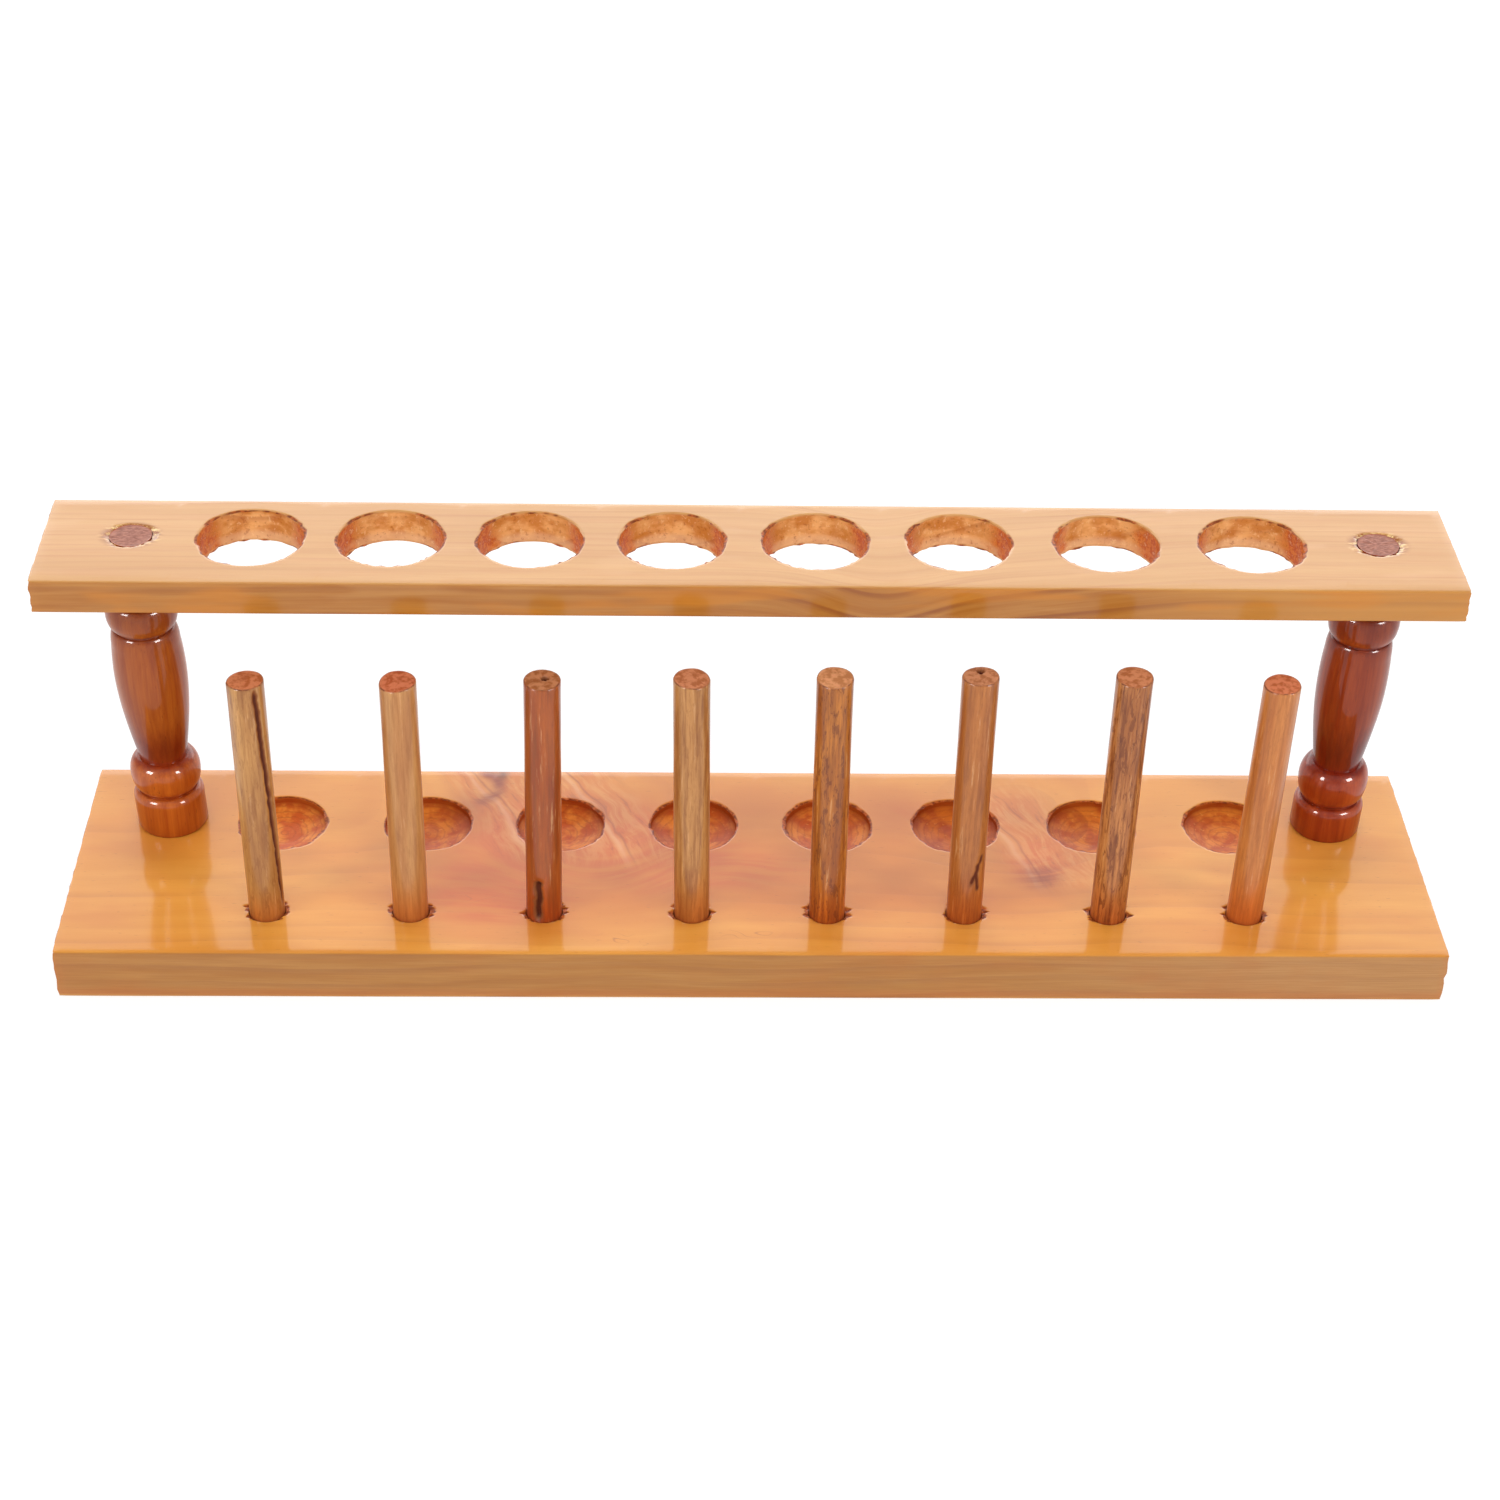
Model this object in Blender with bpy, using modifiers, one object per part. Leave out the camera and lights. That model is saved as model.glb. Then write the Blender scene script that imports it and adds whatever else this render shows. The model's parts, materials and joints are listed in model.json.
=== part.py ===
"""A wooden test tube rack: a base board with eight shallow wells and eight drying pegs, and a
drilled top rail carried on two turned posts.

Run it with blender --background --python part.py, or from Blender's text editor.
The origin is the middle of the base board's underside. +X runs along the rack, +Y from the
pegs to the wells and +Z is up. Sizes below are in millimetres, and MM turns them into metres.
"""

from math import cos, pi, sin

import bmesh
import bpy
from mathutils import Vector

MM = 0.001

# Clearances
SEAT_GAP = 0.3  # between a post's shoulder and the board that it meets
FIT_GAP = 0.3  # round a tenon or a peg in its hole, and under its end
CUT_PAST = 1.0  # how far a cutter stands out of the face that it enters

# The two boards
BOARD_LENGTH = 280.0
BASE_WIDTH, BASE_THICKNESS = 62.0, 11.5
RAIL_WIDTH, RAIL_THICKNESS = 31.0, 7.2
RAIL_UNDERSIDE = 74.1  # height above the bench
RAIL_CENTRE_X, RAIL_CENTRE_Y = -1.2, 11.6  # the rail sits a little to the left of the base
EDGE_ROUND = 0.7  # the sanded edges

# The tube positions. Each row is spaced evenly, and its hand-drilled holes wander a little.
PITCH = 28.5
TUBE_COUNT = 8
HOLE_RADIUS = 10.5
HOLE_ROW_Y = 13.1
HOLE_WANDER = (-0.5, -1.5, -2.5, -3.0, -3.0, -3.0, -2.0, -1.5)
WELL_RADIUS = 9.1
WELL_ROW_Y = 12.0
WELL_WANDER = (1.0, 3.0, 2.5, 2.0, 2.0, 0.5, 1.0, 1.5)
WELL_WALL = 1.6  # depth of the straight wall
WELL_DEPTH = 2.8
WELL_FLOOR_RADIUS = 5.0  # the flat in the middle of the dished floor

# The drying pegs
PEG_RADIUS = 3.7
PEG_ROW_Y = -17.3
PEG_WANDER = (1.0, 1.5, 0.0, 1.5, 0.5, 0.0, 1.0, 0.5)
PEG_HEIGHT = (56.5, 56.5, 57.0, 57.5, 58.0, 58.5, 58.5, 57.0)
PEG_SOCKET_DEPTH = 7.5
PEG_END_ROUND = 0.4

# The turned posts: radii, and heights above the base board's top face
POST_X = (-122.5, 122.5)
POST_Y = 13.4
TENON_RADIUS = 4.2
TENON_DEPTH = 8.0
FOOT_RADIUS = 7.3
FOOT_TOP, FOOT_SHOULDER = 5.6, 2.4
NECK_RADIUS, NECK_HEIGHT = 6.0, 0.6
BEAD_RADIUS = 7.25
LOWER_BEAD_MIDDLE, LOWER_BEAD_TOP = 12.6, 16.8
WAIST_RADIUS, WAIST_HEIGHT = 5.0, 17.2
BELLY_RADIUS, BELLY_HEIGHT = 7.1, 38.0
BODY_TOP, BODY_SHOULDER = 46.2, 1.6
GROOVE_RADIUS, GROOVE_HEIGHT = 6.0, 0.4
UPPER_BEAD_MIDDLE, UPPER_BEAD_TOP = 52.0, 55.6
COLLAR_SHOULDER = 1.8

# Facets
WELL_STEPS = 32
HOLE_STEPS = 40
POST_STEPS = 28
SMALL_STEPS = 20
ARC_STEPS = 3
BODY_STEPS = 7

LIGHT_WOOD = (0.78, 0.42, 0.17)
POST_WOOD = (0.40, 0.12, 0.03)
PEG_WOOD = (0.52, 0.27, 0.11)


def clear_scene():
    for obj in list(bpy.data.objects):
        bpy.data.objects.remove(obj)


def new_collection(name):
    collection = bpy.data.collections.new(name)
    bpy.context.scene.collection.children.link(collection)
    return collection


def wood(name, colour, roughness):
    material = bpy.data.materials.new(name)
    material.use_nodes = True
    shader = material.node_tree.nodes["Principled BSDF"]
    shader.inputs["Base Color"].default_value = (*colour, 1.0)
    shader.inputs["Roughness"].default_value = roughness
    shader.inputs["Metallic"].default_value = 0.0
    return material


def row_spots(wander, y, z):
    """The (x, y, z) of a row's evenly spaced tube positions, each with its drill hole's wander."""
    middle = (TUBE_COUNT - 1) / 2
    return [((i - middle) * PITCH + wander[i], y, z) for i in range(TUBE_COUNT)]


def mesh_object(name, mesh, collection, material=None):
    obj = bpy.data.objects.new(name, mesh)
    collection.objects.link(obj)
    if material:
        mesh.materials.append(material)
    return obj


def board(name, size, foot, collection, material):
    """A plank with sanded edges, with the middle of its underside at foot."""
    mesh = bpy.data.meshes.new(name)
    form = bmesh.new()
    bmesh.ops.create_cube(form, size=1.0)
    bmesh.ops.translate(form, verts=form.verts, vec=(0.0, 0.0, 0.5))
    bmesh.ops.scale(form, verts=form.verts, vec=Vector(size) * MM)
    bmesh.ops.translate(form, verts=form.verts, vec=Vector(foot) * MM)
    form.to_mesh(mesh)
    form.free()
    plank = mesh_object(name, mesh, collection, material)
    bevel = plank.modifiers.new("sanded_edges", "BEVEL")
    bevel.width = EDGE_ROUND * MM
    bevel.segments = 2
    return plank


def turned(name, profile, steps, spot, collection, material=None):
    """A solid turned about the upright at spot, from (radius, height) points, top to foot."""
    mesh = bpy.data.meshes.new(name)
    points = [(radius * MM, 0.0, height * MM) for radius, height in profile]
    mesh.from_pydata(points, [(i, i + 1) for i in range(len(points) - 1)], [])
    solid = mesh_object(name, mesh, collection, material)
    solid.location = Vector(spot) * MM
    screw = solid.modifiers.new("turning", "SCREW")
    screw.steps = screw.render_steps = steps
    screw.use_merge_vertices = True
    screw.merge_threshold = 0.00001
    screw.use_smooth_shade = True
    return solid


def quarter(start, end, upright_at_start):
    """Points on a quarter of an ellipse from start to end, without start itself.

    The curve runs upright where it leaves start, or else where it meets end.
    """
    (start_r, start_z), (end_r, end_z) = start, end
    points = []
    for i in range(1, ARC_STEPS + 1):
        angle = pi / 2 * i / ARC_STEPS
        across, along = sin(angle), 1 - cos(angle)
        if upright_at_start:
            across, along = along, across
        points.append((start_r + (end_r - start_r) * across, start_z + (end_z - start_z) * along))
    return points


def drill_profile(radius, top, bottom):
    return [(0.0, top), (radius, top), (radius, bottom), (0.0, bottom)]


def well_profile():
    """A shallow socket: a straight wall, and a dished floor with a flat in its middle."""
    wall_foot = (WELL_RADIUS, -WELL_WALL)
    floor_edge = (WELL_FLOOR_RADIUS, -WELL_DEPTH)
    return (
        [(0.0, CUT_PAST), (WELL_RADIUS, CUT_PAST), wall_foot]
        + quarter(wall_foot, floor_edge, upright_at_start=True)
        + [(0.0, -WELL_DEPTH)]
    )


def body_point(height):
    """The baluster's swelling body: a sine wave from its waist up to its belly and past it."""
    share = (height - WAIST_HEIGHT) / (BELLY_HEIGHT - WAIST_HEIGHT)
    return WAIST_RADIUS + (BELLY_RADIUS - WAIST_RADIUS) * sin(pi / 2 * share), height


def head_profile(shoulder):
    """From the tenon's shoulder down to the body: the collar, a neck, the upper bead, a groove."""
    collar_foot = (NECK_RADIUS, UPPER_BEAD_TOP + NECK_HEIGHT)
    collar = (FOOT_RADIUS, collar_foot[1] + COLLAR_SHOULDER)
    bead_top = (NECK_RADIUS, UPPER_BEAD_TOP)
    bead = (BEAD_RADIUS, UPPER_BEAD_MIDDLE)
    groove_foot = (GROOVE_RADIUS, BODY_TOP + BODY_SHOULDER)
    groove_top = (GROOVE_RADIUS, groove_foot[1] + GROOVE_HEIGHT)
    return (
        [(FOOT_RADIUS, shoulder), collar]
        + quarter(collar, collar_foot, upright_at_start=True)
        + [bead_top]
        + quarter(bead_top, bead, upright_at_start=False)
        + quarter(bead, groove_top, upright_at_start=True)
        + [groove_foot]
        + quarter(groove_foot, body_point(BODY_TOP), upright_at_start=False)
    )


def body_profile():
    rise = BODY_TOP - WAIST_HEIGHT
    return [body_point(BODY_TOP - rise * i / BODY_STEPS) for i in range(1, BODY_STEPS + 1)]


def foot_profile():
    """From the waist down to the bench end: the lower bead, a neck and the plain foot."""
    bead_top = (WAIST_RADIUS, LOWER_BEAD_TOP)
    bead = (BEAD_RADIUS, LOWER_BEAD_MIDDLE)
    neck_foot = (NECK_RADIUS, FOOT_TOP + FOOT_SHOULDER)
    neck_top = (NECK_RADIUS, neck_foot[1] + NECK_HEIGHT)
    foot = (FOOT_RADIUS, FOOT_TOP)
    return (
        [bead_top]
        + quarter(bead_top, bead, upright_at_start=False)
        + quarter(bead, neck_top, upright_at_start=True)
        + [neck_foot]
        + quarter(neck_foot, foot, upright_at_start=False)
        + [(FOOT_RADIUS, SEAT_GAP)]
    )


def post_profile():
    rail_height = RAIL_UNDERSIDE - BASE_THICKNESS
    tenon_top = rail_height + RAIL_THICKNESS
    tenon_foot = FIT_GAP - TENON_DEPTH
    shoulder = rail_height - SEAT_GAP
    return (
        [(0.0, tenon_top), (TENON_RADIUS, tenon_top), (TENON_RADIUS, shoulder)]
        + head_profile(shoulder)
        + body_profile()
        + foot_profile()
        + [(TENON_RADIUS, SEAT_GAP), (TENON_RADIUS, tenon_foot), (0.0, tenon_foot)]
    )


def peg_profile(height):
    """A plain dowel whose sawn ends are eased."""
    foot = FIT_GAP - PEG_SOCKET_DEPTH
    eased = PEG_RADIUS - PEG_END_ROUND
    return [
        (0.0, height),
        (eased, height),
        (PEG_RADIUS, height - PEG_END_ROUND),
        (PEG_RADIUS, foot + PEG_END_ROUND),
        (eased, foot),
        (0.0, foot),
    ]


def place_cutters(name, profile, steps, spots, cutters):
    for number, spot in enumerate(spots, start=1):
        cutter = turned(f"{name}_{number}", profile, steps, spot, cutters)
        cutter.hide_render = True
        cutter.display_type = "WIRE"


def cut_with(piece, cutters):
    boolean = piece.modifiers.new("drilling", "BOOLEAN")
    boolean.operation = "DIFFERENCE"
    boolean.operand_type = "COLLECTION"
    boolean.collection = cutters
    boolean.solver = "EXACT"


def make_base_board(collection, material):
    size = (BOARD_LENGTH, BASE_WIDTH, BASE_THICKNESS)
    base = board("base_board", size, (0.0, 0.0, 0.0), collection, material)
    wells = row_spots(WELL_WANDER, WELL_ROW_Y, BASE_THICKNESS)
    sockets = row_spots(PEG_WANDER, PEG_ROW_Y, BASE_THICKNESS)
    mortises = [(x, POST_Y, BASE_THICKNESS) for x in POST_X]
    socket = drill_profile(PEG_RADIUS + FIT_GAP, CUT_PAST, -PEG_SOCKET_DEPTH)
    mortise = drill_profile(TENON_RADIUS + FIT_GAP, CUT_PAST, -TENON_DEPTH)
    cutters = new_collection("base_cutters")
    place_cutters("well_cutter", well_profile(), WELL_STEPS, wells, cutters)
    place_cutters("peg_socket_cutter", socket, SMALL_STEPS, sockets, cutters)
    place_cutters("base_mortise_cutter", mortise, SMALL_STEPS, mortises, cutters)
    cut_with(base, cutters)


def make_top_rail(collection, material):
    size = (BOARD_LENGTH, RAIL_WIDTH, RAIL_THICKNESS)
    foot = (RAIL_CENTRE_X, RAIL_CENTRE_Y, RAIL_UNDERSIDE)
    rail = board("top_rail", size, foot, collection, material)
    holes = row_spots(HOLE_WANDER, HOLE_ROW_Y, RAIL_UNDERSIDE)
    mortises = [(x, POST_Y, RAIL_UNDERSIDE) for x in POST_X]
    top = RAIL_THICKNESS + CUT_PAST
    tube_hole = drill_profile(HOLE_RADIUS, top, -CUT_PAST)
    mortise = drill_profile(TENON_RADIUS + FIT_GAP, top, -CUT_PAST)
    cutters = new_collection("rail_cutters")
    place_cutters("tube_hole_cutter", tube_hole, HOLE_STEPS, holes, cutters)
    place_cutters("rail_mortise_cutter", mortise, SMALL_STEPS, mortises, cutters)
    cut_with(rail, cutters)


def make_posts(collection, material):
    for name, x in zip(("left_post", "right_post"), POST_X):
        spot = (x, POST_Y, BASE_THICKNESS)
        turned(name, post_profile(), POST_STEPS, spot, collection, material)


def make_drying_pegs(collection, material):
    spots = row_spots(PEG_WANDER, PEG_ROW_Y, BASE_THICKNESS)
    for number, (spot, height) in enumerate(zip(spots, PEG_HEIGHT), start=1):
        name = f"drying_peg_{number}"
        turned(name, peg_profile(height), SMALL_STEPS, spot, collection, material)


def main():
    clear_scene()
    rack = new_collection("test_tube_rack")
    light_wood = wood("lacquered_light_wood", LIGHT_WOOD, 0.3)
    post_wood = wood("lacquered_post_wood", POST_WOOD, 0.2)
    peg_wood = wood("peg_wood", PEG_WOOD, 0.4)
    make_base_board(rack, light_wood)
    make_top_rail(rack, light_wood)
    make_posts(rack, post_wood)
    make_drying_pegs(rack, peg_wood)


main()
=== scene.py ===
"""The looks of a wooden test tube rack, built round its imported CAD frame.

The rack's lengths are in millimetres until Shape.finish turns them into metres. The camera's and
the studio's are in metres. +X runs along the rack and along the boards' grain, the drying pegs
stand on the -Y side, and +Z is up.
"""

import json
from functools import partial, reduce
from math import atan2, cos, exp, pi, radians, sin, sqrt, tau

import bmesh
import bpy
from mathutils import Matrix, Vector, noise


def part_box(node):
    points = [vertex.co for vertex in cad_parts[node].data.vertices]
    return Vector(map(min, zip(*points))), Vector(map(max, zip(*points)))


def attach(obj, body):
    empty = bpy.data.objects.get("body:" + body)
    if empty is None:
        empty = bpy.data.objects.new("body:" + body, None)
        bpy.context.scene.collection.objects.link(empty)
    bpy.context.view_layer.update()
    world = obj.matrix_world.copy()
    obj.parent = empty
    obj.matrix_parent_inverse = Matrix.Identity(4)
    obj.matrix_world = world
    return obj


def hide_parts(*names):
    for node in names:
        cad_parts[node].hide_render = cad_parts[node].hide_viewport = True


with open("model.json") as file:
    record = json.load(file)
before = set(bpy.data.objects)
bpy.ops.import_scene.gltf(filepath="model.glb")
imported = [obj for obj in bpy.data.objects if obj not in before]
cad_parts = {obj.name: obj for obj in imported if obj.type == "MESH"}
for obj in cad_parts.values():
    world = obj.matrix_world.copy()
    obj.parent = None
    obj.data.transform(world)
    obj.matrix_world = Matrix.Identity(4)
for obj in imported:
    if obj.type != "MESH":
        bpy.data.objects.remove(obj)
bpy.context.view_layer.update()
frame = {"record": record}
MM = 0.001
TUBES = 8

# Camera, at the photograph's angle
CAMERA_PLACE = (-0.0189, -0.4752, 0.3815)
CAMERA_PITCH, CAMERA_YAW, CAMERA_ROLL = 54.285, -2.139, 1.555
CAMERA_LENS, SENSOR = 69.3, 36.0

RACK_MIDDLE = (0.0, 0.0, 0.04)
FLOOR_REACH, FLOOR_DROP = 20.0, 0.0002
FLOOR_GREY, FLOOR_GLOW = 0.35, 0.72
WORLD_FADE = (0.03, 0.25, 1.0, 0.45)  # how far up the fade starts and ends, and the strength at each


# ---- The frame's places ----


def node_box(name):
    """A CAD node's lowest and highest corners, in millimetres."""
    low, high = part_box(name)
    return [v / MM for v in low], [v / MM for v in high]


def node_middle(name):
    low, high = node_box(name)
    return [(a + b) / 2 for a, b in zip(low, high)]


BASE_TOP = node_box("base_board")[1][2]
RAIL_BOTTOM, RAIL_TOP = (corner[2] for corner in node_box("top_rail"))


def seat_places():
    """The (x, y, z) of each well's floor."""
    mounts = {m["name"]: m["pos_m"] for m in frame["record"]["mounts"]}
    return [[v / MM for v in mounts[f"tube_seat_{i + 1}"]] for i in range(TUBES)]


def hole_places():
    """The (x, y) of each tube hole in the rail."""
    boxes = {o["name"]: o["box_m"] for o in frame["record"]["physics"]["openings"]}
    return [
        [(a + b) / 2 / MM for a, b in zip(*boxes[f"tube_hole_{i + 1}"])][:2] for i in range(TUBES)
    ]


# ---- Mesh building ----

WELD = 0.002  # points closer than this are one
MASKS = ("tear", "chip", "bore", "well", "turn", "pale", "side", "end", "crack")


def jitter(x, y, z=0.0):
    """The same number from 0 to 1 for the same place, with no likeness to its neighbours'."""
    return noise.cell(Vector((x + 0.31, y + 0.17, z + 0.43))) % 1.0


def drift(x, y, z=0.0):
    """Smooth noise from about -1 to 1."""
    return noise.noise(Vector((x, y, z)))


def step(value, low, high):
    share = min(1.0, max(0.0, (value - low) / (high - low)))
    return share * share * (3 - 2 * share)


def put_in(name, data):
    """A new object in the scene that holds this data."""
    made = bpy.data.objects.new(name, data)
    bpy.context.scene.collection.objects.link(made)
    return made


class Shape:
    """Points, faces and masks that become one mesh. A mask is a number on each point, which the
    piece's material reads."""

    def __init__(self):
        self.points = []
        self.faces = []
        self.masks = []

    def ring(self, points, **masks):
        """Adds points and returns their numbers. A mask is one value, or a list with each point's."""
        start = len(self.points)
        for i, point in enumerate(points):
            self.points.append(tuple(point))
            self.masks.append(
                {name: v[i] if isinstance(v, list) else v for name, v in masks.items()}
            )
        return list(range(start, len(self.points)))

    def bridge(self, ring, other, closed=True):
        for i in range(len(ring) if closed else len(ring) - 1):
            j = (i + 1) % len(ring)
            self.faces.append((ring[i], ring[j], other[j], other[i]))

    def bridge_all(self, rings, closed=True):
        for ring, other in zip(rings, rings[1:]):
            self.bridge(ring, other, closed)

    def cap(self, ring, centre, **masks):
        (middle,) = self.ring([centre], **masks)
        for i, point in enumerate(ring):
            self.faces.append((point, ring[(i + 1) % len(ring)], middle))

    def finish(self, name, material, sharp=40.0):
        form = bmesh.new()
        layers = {mask: form.verts.layers.float.new(mask) for mask in MASKS}
        verts = []
        for point, masks in zip(self.points, self.masks):
            vert = form.verts.new([v * MM for v in point])
            for mask, value in masks.items():
                vert[layers[mask]] = value
            verts.append(vert)
        for face in self.faces:
            form.faces.new([verts[i] for i in face])
        bmesh.ops.remove_doubles(form, verts=form.verts, dist=WELD * MM)
        bmesh.ops.dissolve_degenerate(form, edges=form.edges, dist=WELD * MM / 10)
        bmesh.ops.recalc_face_normals(form, faces=form.faces)
        mesh = bpy.data.meshes.new(name)
        form.to_mesh(mesh)
        form.free()
        mesh.shade_smooth()
        mesh.set_sharp_from_angle(angle=radians(sharp))
        mesh.materials.append(material)
        return put_in(name, mesh)


# ---- Drilled boards ----

CELL_SIDE = 16  # faces along each side of a cell, so a hole has 4 times as many
DISH_STEPS = 14
EDGE = 0.45  # the sanded edges' radius
EDGE_STEPS = 4
SIDE_STEPS = 8
END_WAVES, END_PITS = 0.25, 0.3  # how deep the rough sawn ends dip
FACE_DIP, SIDE_DIP = 0.04, 0.06  # half of the most that planed faces dip
CORNER_SHARE = 0.78  # how much of the sanded edge's radius reaches each way at an upright corner
OUTWARD_SHARES = (0.03, 0.08, 0.15, 0.25, 0.4, 0.6, 0.8, 1.0)
# A rim's rings: how far out, and the share of the tears' length, of their depth and of their shade
RIM_RINGS = ((0.30, 1.0, 0.0, 0.0), (0.14, 0.75, 0.45, 0.8), (0.05, 0.35, 0.85, 1.0), (0.0, 0.05, 1.0, 1.0))
RIM_ROUNDING = 0.12


class Hole:
    """A drilled hole, its rim torn along the grain. tear is the tears' most length and depth, spread
    how close they keep to the grain's line, teeth how far splinters reach over the hole, stain how
    much the whole rim looks torn, and mask the name its tears have in the material."""

    def __init__(
        self, x, y, radius, seed, tear, spread=4.0, teeth=0.0, mask="tear", stain=0.0
    ):
        self.x, self.y, self.radius, self.seed = x, y, radius, seed
        self.tear_length, self.tear_depth = tear
        self.spread, self.teeth, self.mask, self.stain = spread, teeth, mask, stain

    def at(self, angle, radius, z):
        return (self.x + radius * cos(angle), self.y + radius * sin(angle), z)

    def torn(self, angle, number):
        """How much the rim is torn at this angle, from 0 to 1."""
        along = abs(cos(angle)) ** self.spread
        clumps = step(drift(cos(angle) * 2.1, sin(angle) * 2.1, self.seed), -0.45, 0.3)
        splinters = 0.25 + 0.75 * jitter(number, self.seed)
        return along * clumps * splinters

    def rim(self, angles, top, up):
        """The rim's rings, from the flat face to the hole's wall. up is 1 on a top face."""
        rings = []
        for out, share, sink, shade in RIM_RINGS:
            points, torn_masks = [], []
            for i, angle in enumerate(angles):
                torn = self.torn(angle, i * up)
                side = 1 if cos(angle) > 0 else -1
                tooth = self.teeth * sink * jitter(i, self.seed, up) ** 4
                reach = self.radius + out - tooth
                x = self.x + reach * cos(angle) + side * share * torn * self.tear_length
                y = self.y + reach * sin(angle)
                points.append((x, y, top - up * (RIM_ROUNDING * sink + sink * torn * self.tear_depth)))
                broken = max(self.stain, step(torn, 0.05, 0.3), step(tooth, 0.1, 0.4))
                torn_masks.append(shade * broken)
            rings.append((points, torn_masks))
        return rings


def spread(limits):
    """Steps from the first limit to the last, CELL_SIDE to each cell, without the last itself."""
    return [a + (b - a) * s / CELL_SIDE for a, b in zip(limits, limits[1:]) for s in range(CELL_SIDE)]


def border(columns, rows):
    """The points round these cells, anticlockwise from the front right corner."""
    right = [(columns[-1], y) for y in spread(rows)]
    back = [(x, rows[-1]) for x in spread(columns[::-1])]
    left = [(columns[0], y) for y in spread(rows[::-1])]
    front = [(x, rows[0]) for x in spread(columns)]
    return right + back + left + front


def flat_sheet(shape, columns, rows, z):
    """A plain face over these cells."""
    xs = [*spread(columns), columns[-1]]
    sheet = [shape.ring([(x, y, z) for x in xs]) for y in [*spread(rows), rows[-1]]]
    shape.bridge_all(sheet, closed=False)


def drilled_cell(shape, columns, rows, hole, top, up):
    """Fills a cell's face round a hole and returns the rim's last ring, with its angles."""
    sides = border(columns, rows)
    angles = [atan2(y - hole.y, x - hole.x) for x, y in sides]
    rims = hole.rim(angles, top, up)
    rings = [shape.ring(points, **{hole.mask: torn}) for points, torn in rims]
    for share in OUTWARD_SHARES:
        outward = [
            (a[0] + (b[0] - a[0]) * share, a[1] + (b[1] - a[1]) * share, top)
            for a, b in zip(rims[0][0], sides)
        ]
        rings.insert(0, shape.ring(outward))
    shape.bridge_all(rings[::-1])
    return rings[-1], angles


def column_limits(low, high, holes):
    """The cells' X limits: half way between neighbouring holes' edges."""
    limits = [low]
    for a, b in zip(holes, holes[1:]):
        limits.append((a.x + a.radius + b.x - b.radius) / 2)
    return limits + [high]


def board_sides(shape, columns, rows, bottom, top):
    """The four sides with their sanded edges, from the top sheet's border to the bottom's."""
    x0, x1, y0, y1 = columns[0], columns[-1], rows[0], rows[-1]
    turns = [pi / 2 * i / EDGE_STEPS for i in range(EDGE_STEPS + 1)]
    drop = top - bottom - 2 * EDGE
    levels = [(EDGE * sin(turn), top - EDGE * (1 - cos(turn))) for turn in turns]
    levels += [(EDGE, top - EDGE - drop * i / SIDE_STEPS) for i in range(1, SIDE_STEPS)]
    levels += [(EDGE * sin(turn), bottom + EDGE * (1 - cos(turn))) for turn in turns[::-1]]
    rings = []
    for out, z in levels:
        points, ends = [], []
        for x, y in border(columns, rows):
            across = (x == x1) - (x == x0)
            along = (y == y1) - (y == y0)
            reach = out * (CORNER_SHARE if across and along else 1.0)
            rough = 0.0
            if across and out > EDGE / 2:
                rough = END_WAVES * abs(drift(y * 0.9, z * 0.5, x))
                rough += END_PITS * jitter(y * 7, z * 3, x) ** 2
            points.append((x + across * (reach - rough), y + along * reach, z))
            ends.append(1.0 if across and not along else 0.5 * abs(across))
        side = step(out, 0.45 * EDGE, EDGE)
        rings.append(shape.ring(points, side=side, end=[e * side for e in ends]))
    shape.bridge_all(rings)


def wave_board(shape, low, high):
    """Hand planing: the faces dip by a tenth of a millimetre or so, and never swell."""
    for i, (x, y, z) in enumerate(shape.points):
        middle = (low[1] + high[1]) / 2
        dip = FACE_DIP + FACE_DIP * drift(x / 31, y / 14, z / 9)
        side_dip = SIDE_DIP + SIDE_DIP * drift(x / 23 + 7, z / 6, y / 40)
        y_share = (y - middle) / (high[1] - middle)
        z_share = 2 * (z - low[2]) / (high[2] - low[2]) - 1
        y -= side_dip * y_share * step(abs(y_share), 0.8, 1.0)
        if z_share > 0:
            z -= dip * step(z_share, 0.6, 1.0)
        shape.points[i] = (x, y, z)


# How far each post's foot and its top stand off along X from the upright the CAD gives it
POST_SHIFTS = {"left_post": (0.6, -1.3), "right_post": (-0.2, 1.1)}


def post_places(end):
    """The (x, y) of each post's foot, which is end 0, or of its top, which is end 1."""
    return [
        (node_middle(name)[0] + shifts[end], node_middle(name)[1]) for name, shifts in POST_SHIFTS.items()
    ]


# The base board's drilling
WELL_RADIUS, WELL_FLAT = 9.1, 1.5
WELL_WALL, WALL_STEPS, WALL_TAPER = 1.3, 3, 0.05
DISH_INSET = 0.2
RIDGE_HEIGHT, RIDGE_GAP = 0.03, 1.4  # the bit's rings
DISH_GRIT, FLAT_GRIT = 0.06, 0.04
WELL_PALENESS = (1.0, 0.4, 0.6, 0.4, 0.6, 0.0, 0.3, 0.5)
MORTISE_RADIUS, MORTISE_DEPTH = 4.4, 8.0
SOCKET_RADIUS, SOCKET_DEPTH = 3.75, 7.5


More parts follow.
